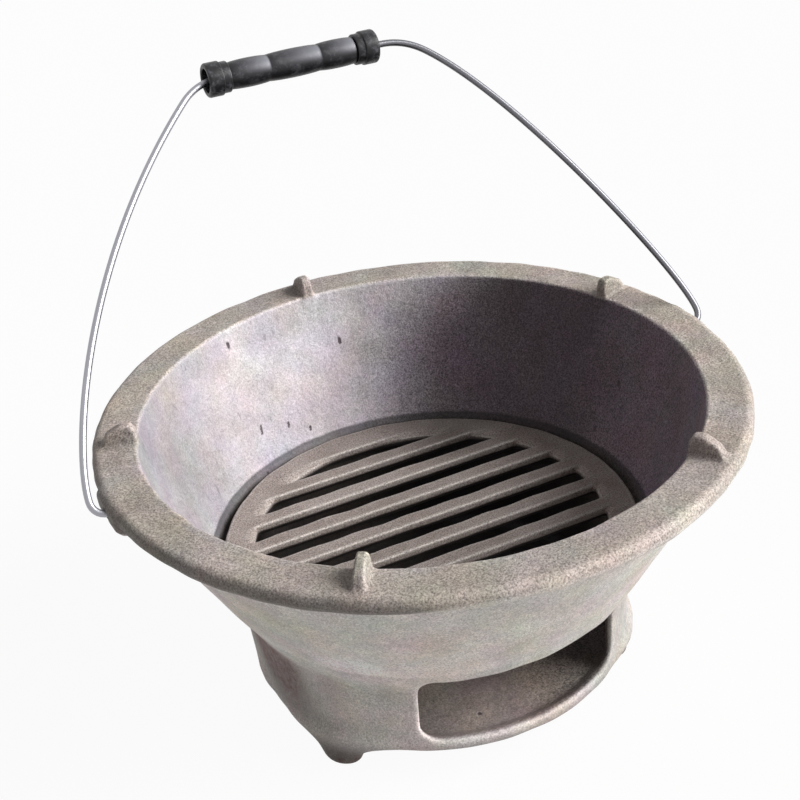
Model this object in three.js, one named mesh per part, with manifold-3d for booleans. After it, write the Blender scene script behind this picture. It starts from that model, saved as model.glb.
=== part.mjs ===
// A portable cast-iron charcoal stove: one casting with a flared bowl on a short drum,
// a loose fire grate on a ledge, and a wire bail with a moulded grip.
// Millimetres, +Z up. The origin is on the bowl's axis, in the plane that the feet stand on.
// X runs from ear to ear, and the ash window faces -Y.
import * as THREE from 'three';
import { mergeVertices } from 'three/addons/utils/BufferGeometryUtils.js';
import Module from 'manifold-3d';

const wasm = await Module();
wasm.setup();

const degree = Math.PI / 180;

// Facets
const bodySegments = 72;
const grateSegments = 64;
const footSegments = 16;
const bowlSteps = 6;
const edgeSteps = 4;
const wireSides = 10;
const legSteps = 14;
const hookSteps = 5;
const bendSteps = 4;
const gripSegments = 32;
const swellSteps = 6;
const holeSegments = 20;
const endSteps = 4;

// Overall
const bodyHeight = 142; // underside of the drum to the top of the rim
const footHeight = 17;
const rimTop = footHeight + bodyHeight;

// Rim
const rimRadius = 162;
const rimWidth = 22.5;
const rimRound = 4.5; // rounding of the top outer edge
const rimSide = 1.5; // straight band under the rounding
const rimLip = 3.5; // height and depth of the rounding under the band
const rimOverhang = 13; // rim edge to the root of the bowl wall
const rimRootDepth = 12;

// Bowl
const bowlDepth = 95; // top of the rim to where the bowl meets the drum
const bowlFlare = 3.5; // how far the bowl's foot stands out from the drum
const bowlOuterBulge = 1.2;
const bowlInnerBulge = 3;

// Drum under the bowl
const drumRadius = 101;
const drumWall = 6.5;
const drumEdge = 2.5; // chamfer of the lower edge
const drumCorner = 6; // slope from the bowl's foot to the drum
const floorThickness = 5;

// Ledge that carries the grate
const ledgeWidth = 12.4;
const ledgeSetback = 2.5; // edge of the ledge to the line of the drum's inner wall
const ledgeSlope = 12; // height of the slope under the ledge

// Ash window
const windowWidth = 108;
const windowShift = 2; // window's middle, towards +X
const windowHeight = 42;
const windowSill = 3; // sill above the floor
const windowTopRound = 6;
const windowSillRound = 10;

// Pot supports on the rim
const lugCount = 5;
const lugFirst = 90 * degree;
const lugThickness = 6;
const lugHeight = 10;
const lugLength = 17.5;
const lugNose = 2.5; // chamfer at the lug's inner end
const lugCrest = 7; // inner end to where the level back ends
const lugTail = 3.5; // steep slope at the lug's outer end
const lugShoulderShare = 0.6; // height left at the chamfer and at the steep slope
const lugRoot = 5; // how far the lug reaches into the rim

// Ears for the bail
const earWidth = 30;
const earProud = 1; // ear's face past the rim
const earDrop = 1.5; // top of the rim to the ear's top
const earLip = 3; // depth of the chamfer at the ear's top
const earLipFall = 1.5; // height of that chamfer
const earFoot = 14.5; // top of the rim to the ear's underside
const earChamfer = 4;
const earDepth = 17;

// Feet
const footCount = 3;
const footFirst = 90 * degree;
const footInset = 9.5; // drum wall to the foot's middle
const footTopHalf = 15;
const footTipHalf = 9;
const footRadialShare = 0.62;
const footRoot = 4; // how far the foot reaches into the floor

// Grate
const grateGap = 2.4; // clearance to the bowl beside the ledge
const grateDepth = 75; // top of the rim to the top of the grate
const grateThickness = 6.5;
const grateRing = 15.5; // edge to the circle that the slots end on
const slotPitch = 21;
const slotWidth = 11.8; // at the top
const slotFlare = 3.5; // slope at the slots' ends
const slotFlareDepth = 2.1;
const barSide = 3.2; // height of a bar's upright sides
const barTaper = 1.3; // how far a bar's sides draw in under them
const grateEdge = 1;

// Bail
const wireRadius = 1.75;
const pivotDepth = 7.5; // top of the rim to the bail's axis
const earClearance = 0.85; // wire to the wall of the ear's hole
const hookRadius = 7;
const hookGap = 3.6; // ear's face to the wire beside it
const hookReach = 11; // wire inside the ear
const holeDepth = 13;
const bailHeight = 193.5; // bail's axis to the middle of the grip
const bailLean = 41 * degree; // back from upright, as it rests
const hookRise = 22; // how far the leg runs on straight above its hook
const shoulderSlope = 42 * degree; // below the line of the ears
const shoulderBend = 13;
const leftCorner = 50;
const leftReach = 106; // how far the leg runs on straight below its shoulder
const rightCorner = 66;
const rightReach = 55;

// Grip
const gripLength = 94;
const gripShift = 2; // grip's middle, towards +X
const gripTilt = 1.1 * degree; // right end down, in the bail's plane
const gripBore = 2.7;
const gripRadius = 7.4;
const gripWaist = 6.7;
const swellCount = 3;
const spigotRadius = 5.8;
const spigotLength = 5.5;
const collarLength = 12.5;
const collarRadius = 8.8;
const collarBand = 8; // length of the collar's thicker outer end
const collarNeck = 8;

// Gap between pieces that touch, and the overrun of cuts
const seatGap = 0.3;
const overrun = 5;

const bowlFootRadius = drumRadius + bowlFlare;
const rimRootRadius = rimRadius - rimOverhang;
const rimInnerRadius = rimRadius - rimWidth;
const pivotHeight = rimTop - pivotDepth;
const ledgeDepth = grateDepth + grateThickness + seatGap;
const chamberRadius = drumRadius - drumWall;
const ledgeRadius = chamberRadius + ledgeSetback;
const seatRadius = ledgeRadius + ledgeWidth; // bowl's inner wall where the grate sits
const earFace = rimRadius + earProud;
const legPlace = earFace + hookGap + wireRadius; // bail's leg beside the ear
const grateRadius = seatRadius - grateGap;
const slotRadius = grateRadius - grateRing;
const slotsEachSide = Math.floor((slotRadius - slotWidth / 2) / slotPitch); // beside the middle slot

const castIron = { color: 0x8b847b, roughness: 0.85, metalness: 0.35 };
const grateIron = { color: 0x7c7570, roughness: 0.8, metalness: 0.4 };
const brightSteel = { color: 0xc9c9cc, roughness: 0.25, metalness: 1 };
const blackPlastic = { color: 0x232427, roughness: 0.45, metalness: 0 };

// A closed geometry as a solid that can be joined and cut
function solid(geometry) {
  const bare = geometry.clone();
  bare.deleteAttribute('normal');
  bare.deleteAttribute('uv');
  const merged = mergeVertices(bare);
  const corners = merged.index.array;
  const triangles = [];
  for (let i = 0; i < corners.length; i += 3) {
    const [a, b, c] = corners.slice(i, i + 3);
    if (a !== b && b !== c && c !== a) triangles.push(a, b, c);
  }
  return new wasm.Manifold(new wasm.Mesh({
    numProp: 3,
    vertProperties: new Float32Array(merged.attributes.position.array),
    triVerts: new Uint32Array(triangles),
  }));
}

// A joined or cut solid as a geometry again
function geometryOf(manifold) {
  const mesh = manifold.getMesh();
  const geometry = new THREE.BufferGeometry();
  geometry.setAttribute('position', new THREE.BufferAttribute(mesh.vertProperties, 3));
  geometry.setIndex(new THREE.BufferAttribute(mesh.triVerts, 1));
  geometry.computeVertexNormals();
  return geometry;
}

function piece(name, geometry, finish) {
  const mesh = new THREE.Mesh(geometry, new THREE.MeshStandardMaterial(finish));
  mesh.name = name;
  return mesh;
}

const point = ([x, y]) => new THREE.Vector2(x, y);

// A profile of [radius, height] points turned about Z
function turned(profile, segments) {
  return new THREE.LatheGeometry(profile.map(point), segments).rotateX(Math.PI / 2);
}

// An outline of [radius, height] points as an upright plate along the given azimuth
function radialPlate(outline, thickness, azimuth) {
  const plate = new THREE.ExtrudeGeometry(new THREE.Shape(outline.map(point)), {
    depth: thickness,
    bevelEnabled: false,
  });
  return plate.translate(0, 0, -thickness / 2).rotateX(Math.PI / 2).rotateZ(azimuth);
}

// Points of an arc from angle start to angle end about a centre
function arc(x, y, radius, start, end, steps) {
  return Array.from({ length: steps + 1 }, (_, i) => {
    const angle = start + (end - start) * i / steps;
    return [x + radius * Math.cos(angle), y + radius * Math.sin(angle)];
  });
}

// Points between two ends, pushed out sideways by a bulge in the middle
function bulged(from, to, bulge, steps) {
  return Array.from({ length: steps - 1 }, (_, i) => {
    const share = (i + 1) / steps;
    const radius = from[0] + (to[0] - from[0]) * share + bulge * Math.sin(Math.PI * share);
    return [radius, from[1] + (to[1] - from[1]) * share];
  });
}

// Casting

function shellProfile() {
  const bowlFoot = [bowlFootRadius, rimTop - bowlDepth];
  const rimRoot = [rimRootRadius, rimTop - rimRootDepth];
  const rimEdge = [rimInnerRadius, rimTop];
  const seat = [seatRadius, rimTop - ledgeDepth];
  return [
    [0, footHeight],
    [drumRadius - drumEdge, footHeight],
    [drumRadius, footHeight + drumEdge],
    [drumRadius, rimTop - bowlDepth - drumCorner],
    bowlFoot,
    ...bulged(bowlFoot, rimRoot, bowlOuterBulge, bowlSteps),
    rimRoot,
    [rimRadius - rimLip, rimTop - rimRound - rimSide - rimLip],
    [rimRadius, rimTop - rimRound - rimSide],
    ...arc(rimRadius - rimRound, rimTop - rimRound, rimRound, 0, Math.PI / 2, edgeSteps),
    rimEdge,
    ...bulged(rimEdge, seat, bowlInnerBulge, bowlSteps),
    seat,
    [ledgeRadius, rimTop - ledgeDepth],
    [chamberRadius, rimTop - ledgeDepth - ledgeSlope],
    [chamberRadius, footHeight + floorThickness],
    [0, footHeight + floorThickness],
  ];
}

function potSupport(azimuth) {
  const inner = rimInnerRadius;
  return radialPlate([
    [inner, rimTop - lugRoot],
    [inner + lugLength, rimTop - lugRoot],
    [inner + lugLength, rimTop],
    [inner + lugLength - lugTail, rimTop + lugHeight * lugShoulderShare],
    [inner + lugCrest, rimTop + lugHeight],
    [inner + lugNose, rimTop + lugHeight],
    [inner, rimTop + lugHeight * lugShoulderShare],
  ], lugThickness, azimuth);
}

function ear(azimuth) {
  const face = earFace;
  return radialPlate([
    [face - earDepth, rimTop - earFoot],
    [face - earChamfer, rimTop - earFoot],
    [face, rimTop - earFoot + earChamfer],
    [face, rimTop - earDrop - earLipFall],
    [face - earLip, rimTop - earDrop],
    [face - earDepth, rimTop - earDrop],
  ], earWidth, azimuth);
}

function earHole(azimuth) {
  const length = holeDepth + overrun;
  return new THREE.CylinderGeometry(wireRadius + earClearance, wireRadius + earClearance, length, holeSegments)
    .rotateZ(Math.PI / 2)
    .translate(earFace + overrun - length / 2, 0, pivotHeight)
    .rotateZ(azimuth);
}

function foot(azimuth) {
  const height = footHeight + footRoot;
  return new THREE.CylinderGeometry(footTopHalf, footTipHalf, height, footSegments)
    .rotateX(Math.PI / 2)
    .scale(footRadialShare, 1, 1)
    .translate(drumRadius - footInset, 0, height / 2)
    .rotateZ(azimuth);
}

function ashWindow() {
  const half = windowWidth / 2;
  const sill = footHeight + floorThickness + windowSill;
  const top = sill + windowHeight;
  const low = windowSillRound;
  const high = windowTopRound;
  const outline = [
    ...arc(-half + low, sill + low, low, Math.PI, 1.5 * Math.PI, edgeSteps),
    ...arc(half - low, sill + low, low, 1.5 * Math.PI, 2 * Math.PI, edgeSteps),
    ...arc(half - high, top - high, high, 0, Math.PI / 2, edgeSteps),
    ...arc(-half + high, top - high, high, Math.PI / 2, Math.PI, edgeSteps),
  ];
  const near = drumRadius / 2;
  const depth = bowlFootRadius + overrun - near;
  const cutter = new THREE.ExtrudeGeometry(new THREE.Shape(outline.map(point)), {
    depth,
    bevelEnabled: false,
  });
  return cutter.rotateX(Math.PI / 2).translate(windowShift, -near, 0);
}

function stoveBody() {
  let body = solid(turned(shellProfile(), bodySegments));
  for (let i = 0; i < lugCount; i++) {
    body = body.add(solid(potSupport(lugFirst + 2 * Math.PI * i / lugCount)));
  }
  for (let i = 0; i < footCount; i++) {
    body = body.add(solid(foot(footFirst + 2 * Math.PI * i / footCount)));
  }
  for (const azimuth of [0, Math.PI]) {
    body = body.add(solid(ear(azimuth))).subtract(solid(earHole(azimuth)));
  }
  body = body.subtract(solid(ashWindow()));
  return piece('stove_body', geometryOf(body), castIron);
}

// Grate

// Corners of a strip along X at the given height, with its ends on a circle
function slotPlan(offset, half, radius, height) {
  const angleAt = (y) => Math.asin(THREE.MathUtils.clamp(y / radius, -1, 1));
  const end = arc(0, 0, radius, angleAt(offset - half), angleAt(offset + half), endSteps);
  return end.flatMap(([x, y]) => [[x, y, height], [-x, y, height]]);
}

// A slot between two bars: upright beside their tops, wider below, and sloped at its two ends
function slotCutter(offset) {
  const half = slotWidth / 2;
  const throat = wasm.Manifold.hull([
    ...slotPlan(offset, half, slotRadius, -overrun),
    ...slotPlan(offset, half, slotRadius, grateThickness + overrun),
  ]);
  const below = wasm.Manifold.hull([
    ...slotPlan(offset, half + barTaper, slotRadius, -overrun),
    ...slotPlan(offset, half + barTaper, slotRadius, 0),
    ...slotPlan(offset, half, slotRadius, grateThickness - barSide),
  ]);
  const ends = wasm.Manifold.hull([
    ...slotPlan(offset, half, slotRadius, grateThickness - slotFlareDepth),
    ...slotPlan(offset, half, slotRadius + slotFlare, grateThickness),
  ]);
  return throat.add(below).add(ends);
}

function fireGrate() {
  const profile = [
    [0, 0],
    [grateRadius - grateEdge, 0],
    [grateRadius, grateEdge],
    [grateRadius, grateThickness - grateEdge],
    [grateRadius - grateEdge, grateThickness],
    [0, grateThickness],
  ];
  let grate = solid(turned(profile, grateSegments));
  for (let i = -slotsEachSide; i <= slotsEachSide; i++) {
    grate = grate.subtract(slotCutter(i * slotPitch));
  }
  const mesh = piece('grate', geometryOf(grate), grateIron);
  mesh.position.z = rimTop - grateDepth - grateThickness;
  return mesh;
}

// Bail, drawn upright in its own plane: x along the ears, height above its axis

// One side from the end in the ear up to the straight stretch under the grip, on the +X side,
// for a grip whose middle and tilt are given as seen from that side
function bailSide(corner, reach, middle, tilt) {
  const at = ([x, height]) => new THREE.Vector3(x, 0, height);
  const straight = (x) => [x, bailHeight - (x - middle) * Math.tan(tilt)];
  const down = [Math.cos(shoulderSlope), -Math.sin(shoulderSlope)];
  const turn = straight(corner);
  const shoulder = [turn[0] + shoulderBend * down[0], turn[1] + shoulderBend * down[1]];
  const hookTop = [legPlace, hookRadius];
  const leg = new THREE.CubicBezierCurve3(
    at(hookTop),
    at([legPlace, hookRadius + hookRise]),
    at([shoulder[0] + reach * down[0], shoulder[1] + reach * down[1]]),
    at(shoulder),
  );
  const bend = new THREE.QuadraticBezierCurve3(
    at(shoulder),
    at(turn),
    at(straight(corner - shoulderBend)),
  );
  const hook = arc(legPlace - hookRadius, hookRadius, hookRadius, -Math.PI / 2, 0, hookSteps);
  return [
    at([earFace - hookReach, 0]),
    ...hook.map(at),
    ...leg.getPoints(legSteps).slice(1),
    ...bend.getPoints(bendSteps).slice(1),
  ];
}

function bailWire() {
  const right = bailSide(rightCorner, rightReach, gripShift, gripTilt);
  const left = bailSide(leftCorner, leftReach, -gripShift, -gripTilt);
  const mirrored = left.map((place) => place.multiply(new THREE.Vector3(-1, 1, 1)));
  const places = [...mirrored, ...right.reverse()];
  const path = new THREE.CatmullRomCurve3(places);
  path.getUtoTmapping = (share) => share; // rings at the points themselves
  const section = arc(0, 0, wireRadius, 0, 2 * Math.PI, wireSides).slice(0, wireSides);
  return new THREE.ExtrudeGeometry(new THREE.Shape(section.map(point)), {
    steps: places.length - 1,
    extrudePath: path,
  });
}

// Grip, turned about its own axis, which is turned into X

function alongX(profile) {
  return turned([...profile, profile[0]], gripSegments).rotateY(Math.PI / 2);
}

function gripTube() {
  const half = gripLength / 2 - collarLength + spigotLength;
  const shoulder = half - spigotLength;
  const swells = Array.from({ length: swellCount * swellSteps + 1 }, (_, i) => {
    const share = i / (swellCount * swellSteps);
    const rise = Math.abs(Math.sin(Math.PI * share * swellCount));
    return [gripWaist + (gripRadius - gripWaist) * rise, shoulder * (2 * share - 1)];
  });
  return alongX([
    [gripBore, -half],
    [spigotRadius, -half],
    [spigotRadius, -shoulder],
    ...swells,
    [spigotRadius, shoulder],
    [spigotRadius, half],
    [gripBore, half],
  ]);
}

// A ring pushed over the grip's end, with its thicker band outward
function gripCollar(side) {
  const bore = spigotRadius + seatGap;
  const outer = gripLength / 2;
  const inner = outer - collarLength + seatGap;
  const ring = alongX([
    [bore, inner],
    [collarNeck, inner],
    [collarNeck, outer - collarBand],
    [collarRadius, outer - collarBand],
    [collarRadius, outer],
    [bore, outer],
  ]);
  return side > 0 ? ring : ring.rotateZ(Math.PI);
}

function bail() {
  const grip = new THREE.Group();
  grip.position.set(gripShift, 0, bailHeight);
  grip.rotation.y = gripTilt;
  grip.add(piece('grip', gripTube(), blackPlastic));
  grip.add(piece('grip_collar_right', gripCollar(1), blackPlastic));
  grip.add(piece('grip_collar_left', gripCollar(-1), blackPlastic));
  const group = new THREE.Group();
  group.position.z = pivotHeight;
  group.rotation.x = -bailLean;
  group.add(piece('bail_wire', bailWire(), brightSteel), grip);
  return group;
}

const stove = new THREE.Group();
stove.add(stoveBody(), fireGrate(), bail());

export default stove;
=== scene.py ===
"""A portable cast-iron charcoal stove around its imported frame.

The body is one sand casting with pot lugs, ears, feet and an ash window. A second casting, the
grate, lies loose on its ledge, and a steel wire bail with a moulded grip hangs in the ears.
Shapes are worked out in millimetres in the frame's axes, with +Z up and the ash window facing -Y,
and become metres when they are put into a mesh.
"""

from __future__ import annotations

import logging
import math
from dataclasses import dataclass, field
from enum import Enum
from functools import partial
from typing import Callable, Mapping, Sequence

import bpy
import numpy as np
from bpy.types import Material, NodeSocket, NodeTree, World
from mathutils import Matrix

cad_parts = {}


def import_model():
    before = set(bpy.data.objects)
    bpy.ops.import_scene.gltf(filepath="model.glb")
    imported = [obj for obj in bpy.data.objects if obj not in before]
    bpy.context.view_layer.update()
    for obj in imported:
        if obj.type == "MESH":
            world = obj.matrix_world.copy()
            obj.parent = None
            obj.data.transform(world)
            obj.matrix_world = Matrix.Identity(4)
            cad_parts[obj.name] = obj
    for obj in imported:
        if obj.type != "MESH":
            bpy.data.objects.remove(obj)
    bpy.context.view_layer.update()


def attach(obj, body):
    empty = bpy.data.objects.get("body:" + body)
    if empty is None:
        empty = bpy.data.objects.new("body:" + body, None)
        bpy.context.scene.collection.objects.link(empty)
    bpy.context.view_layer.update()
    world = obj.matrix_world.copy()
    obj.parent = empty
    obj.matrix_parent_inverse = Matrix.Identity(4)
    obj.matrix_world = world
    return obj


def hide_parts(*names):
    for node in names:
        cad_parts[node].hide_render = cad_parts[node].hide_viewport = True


LOG = logging.getLogger("charcoal_stove")
MM = 0.001
SEED = 7
WHITE = (1.0, 1.0, 1.0, 1.0)

# Sockets of the Mix node that carry colour, and what else it takes for it
MIX_A = 6
MIX_B = 7
COLOUR_MIX = {"out": 2, "data_type": "RGBA"}

Array = np.ndarray
Field = Callable[[Array], Array]
Adder = Callable[..., NodeSocket]
Surface = tuple[NodeSocket, NodeSocket, NodeSocket]
# Two values, and the two that a map turns them into
Ends = tuple[float, float, float, float]
# Two coordinates of each corner of an outline, and its radius
Corners = Sequence[tuple[float, float, float]]


# Small helpers


def linear(colour: str) -> tuple[float, float, float, float]:
    """Turn an sRGB hex colour into linear RGBA.

    Args:
        colour: six hex digits after a hash sign.

    Returns:
        The four linear channels, with alpha 1.
    """
    channels = np.array([int(colour[i : i + 2], 16) for i in (1, 3, 5)]) / 255
    bright = ((channels + 0.055) / 1.055) ** 2.4
    return (*np.where(channels > 0.04045, bright, channels / 12.92).tolist(), 1.0)


def add_node(
    tree: NodeTree,
    kind: str,
    inputs: Mapping[int | str, object] | Sequence[object] = (),
    out: int | str = 0,
    **settings: object,
) -> NodeSocket | None:
    """Add a shader node with its settings and links.

    Args:
        tree: the node tree of a material or of the world.
        kind: the node's type without its ShaderNode prefix.
        inputs: a value, or an output to link, for each socket: in their order, or by name or number.
        out: the name or number of the output that is wanted.
        settings: the node's own properties.

    Returns:
        The wanted output, or None for a node that has none.
    """
    node = tree.nodes.new("ShaderNode" + kind)
    for name, value in settings.items():
        setattr(node, name, value)
    for key, value in inputs.items() if isinstance(inputs, Mapping) else enumerate(inputs):
        if isinstance(value, NodeSocket):
            tree.links.new(value, node.inputs[key])
        else:
            node.inputs[key].default_value = value
    return node.outputs[out] if len(node.outputs) else None


def nodes_of(owner: Material | World) -> Adder:
    """Empty the node tree of a new material or world, and return add_node for that tree."""
    owner.use_nodes = True
    owner.node_tree.nodes.clear()
    return partial(add_node, owner.node_tree)


def per_mm(size: float) -> float:
    """Return the texture scale, per metre, of a pattern whose features are size millimetres wide."""
    return 1.0 / (size * MM)


def smooth_step(low: float, high: float, value: Array) -> Array:
    """Return 0 below low and 1 above high, with an S-shaped cubic between."""
    share = np.clip((value - low) / (high - low), 0, 1)
    return share * share * (3 - 2 * share)


def turned(azimuth: Array, middle: float) -> Array:
    """Return the turn from a middle azimuth, between -180 and 180 degrees."""
    return (azimuth - middle + 180) % 360 - 180


def facing(azimuth: Array, towards: float, low: float, high: float) -> Array:
    """Return how squarely azimuths face one of them: a smooth step over the cosine between the two."""
    return smooth_step(low, high, np.cos(np.radians(azimuth - towards)))


def smooth_union(first: Array, second: Array, blend: float) -> Array:
    """Join two distances: the lesser one, less a quarter of the squared overlap of the blend band."""
    overlap = np.maximum(blend - np.abs(first - second), 0)
    return np.minimum(first, second) - overlap * overlap / (4 * blend)


def smooth_cut(solid: Array, cutter: Array, blend: float) -> Array:
    """Cut one distance from another, which rounds the edge of the cut by about the blend."""
    return -smooth_union(-solid, cutter, blend)


def rounded_overlap(first: Array, second: Array, radius: float) -> Array:
    """Intersect two distances with a round edge: the length of what stands past both moved-in walls."""
    a, b = first + radius, second + radius
    outside = np.hypot(np.maximum(a, 0), np.maximum(b, 0))
    return outside + np.minimum(np.maximum(a, b), 0) - radius


def folded(places: Array, count: int, first: float) -> tuple[Array, Array]:
    """Fold the plane into one sector, so that a feature repeated round the axis is worked out once.

    Args:
        places: x, y and z, in rows.
        count: how many times the feature repeats.
        first: azimuth of one of them, in degrees.

    Returns:
        The distance along the nearest feature's azimuth, and the distance across it.
    """
    sector = 2 * math.pi / count
    azimuth = np.arctan2(places[:, 1], places[:, 0]) - math.radians(first)
    azimuth -= sector * np.round(azimuth / sector)
    radius = np.hypot(places[:, 0], places[:, 1])
    return radius * np.cos(azimuth), radius * np.sin(azimuth)


def filleted(corners: Corners) -> Array:
    """Round the corners of a closed outline.

    Each corner is replaced by the arc of its radius that touches both of its sides.

    Args:
        corners: the two coordinates of each corner, and its radius.

    Returns:
        The points of the rounded outline, in rows.
    """
    points = np.array(corners, float)
    places, radii = points[:, :2], points[:, 2]
    rounded = []
    for here, before, after, radius in zip(places, np.roll(places, 1, 0), np.roll(places, -1, 0), radii):
        back, ahead = before - here, after - here
        back, ahead = back / np.linalg.norm(back), ahead / np.linalg.norm(ahead)
        half = math.acos(np.clip(back @ ahead, -1, 1)) / 2
        if radius == 0 or half > math.radians(88):
            rounded.append(here[None])
            continue
        start = here + back * radius / math.tan(half)
        middle = here + (back + ahead) / np.linalg.norm(back + ahead) * radius / math.sin(half)
        arm = (start - middle) / radius
        turn = (math.pi - 2 * half) * np.sign(back[1] * ahead[0] - back[0] * ahead[1])
        angles = np.linspace(0, turn, max(3, math.ceil(abs(turn) / math.radians(12))))
        side = np.array([-arm[1], arm[0]])
        rounded.append(middle + radius * (np.cos(angles)[:, None] * arm + np.sin(angles)[:, None] * side))
    return np.concatenate(rounded)


class Section:
    """Distance to a closed outline in a plane, negative inside.

    It is worked out once on a fine grid, as the least distance to the outline's sides with the
    sign of an even-odd count, and read back through cubic B-spline weights, so that its slope is
    continuous and edges are softened by about half the spacing. The grid reaches past the outline
    by the margin.
    """

    MARGIN = 14.0
    SPACING = 0.5

    def __init__(self, corners: Corners) -> None:
        """Sample the distance round an outline, given as corners with their radii."""
        outline = filleted(corners)
        self.low = outline.min(0) - self.MARGIN
        self.high = outline.max(0) + self.MARGIN
        count = np.ceil((self.high - self.low) / self.SPACING).astype(int) + 4
        lines = (low + self.SPACING * (np.arange(n) - 1) for low, n in zip(self.low, count))
        across, up = np.meshgrid(*lines, indexing="ij")
        nearest = np.full(across.shape, np.inf)
        inside = np.zeros(across.shape, bool)
        for (x0, y0), (x1, y1) in zip(outline, np.roll(outline, -1, 0)):
            dx, dy = x1 - x0, y1 - y0
            share = np.clip(((across - x0) * dx + (up - y0) * dy) / (dx * dx + dy * dy), 0, 1)
            gap = (across - x0 - share * dx) ** 2 + (up - y0 - share * dy) ** 2
            np.minimum(nearest, gap, out=nearest)
            if dy:
                inside ^= ((y0 > up) != (y1 > up)) & (across < x0 + (up - y0) * dx / dy)
        self.samples = (np.sqrt(nearest) * np.where(inside, -1, 1)).astype(np.float32)

    def __call__(self, across: Array, up: Array) -> Array:
        """Return the distance at each place in the plane."""
        held = [np.clip(v, lo, hi) for v, lo, hi in zip((across, up), self.low, self.high)]
        past = np.hypot(across - held[0], up - held[1])
        cells, weights = [], []
        for value, low in zip(held, self.low):
            place = (value - low) / self.SPACING
            cell = np.floor(place)
            t = place - cell
            cells.append(cell.astype(np.int64))
            weights.append(
                ((1 - t) ** 3 / 6, (3 * t**3 - 6 * t**2 + 4) / 6, (-3 * t**3 + 3 * t**2 + 3 * t + 1) / 6, t**3 / 6)
            )
        flat = self.samples.ravel()
        rows = self.samples.shape[1]
        start = cells[0] * rows + cells[1]
        total = past
        for i, wide in enumerate(weights[0]):
            for j, high in enumerate(weights[1]):
                total = total + wide * high * flat[start + i * rows + j]
        return total


@dataclass
class Waviness:
    """Unevenness that sand leaves in a casting: a sum of waves in random directions."""

    height: float
    shortest: float
    longest: float
    waves: int = 10
    seed: int = SEED

    def __post_init__(self) -> None:
        """Draw the waves' directions, lengths and phases."""
        random = np.random.default_rng(self.seed)
        direction = random.normal(size=(self.waves, 3))
        direction /= np.linalg.norm(direction, axis=1, keepdims=True)
        length = random.uniform(self.shortest, self.longest, self.waves)
        self.vectors = (direction * (2 * np.pi / length)[:, None]).T
        self.phases = random.uniform(0, 2 * np.pi, self.waves)
        self.share = self.height / math.sqrt(self.waves)

    def __call__(self, places: Array) -> Array:
        """Return the height of the unevenness at each place."""
        total = np.zeros(len(places))
        for vector, phase in zip(self.vectors.T, self.phases):
            total += np.cos(places @ vector + phase)
        return total * self.share


# Skins of castings

# The four corners of a tetrahedron round a place, for its slope and its mean
TETRAHEDRON = np.array([(1, -1, -1), (-1, -1, 1), (-1, 1, -1), (1, 1, 1)], float)
CELL_CORNERS = np.array([(i, j, k) for i in (0, 1) for j in (0, 1) for k in (0, 1)])
CELL_EDGES = [(a, b) for a in range(8) for b in range(a + 1, 8) if abs(CELL_CORNERS[a] - CELL_CORNERS[b]).sum() == 1]


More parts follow.
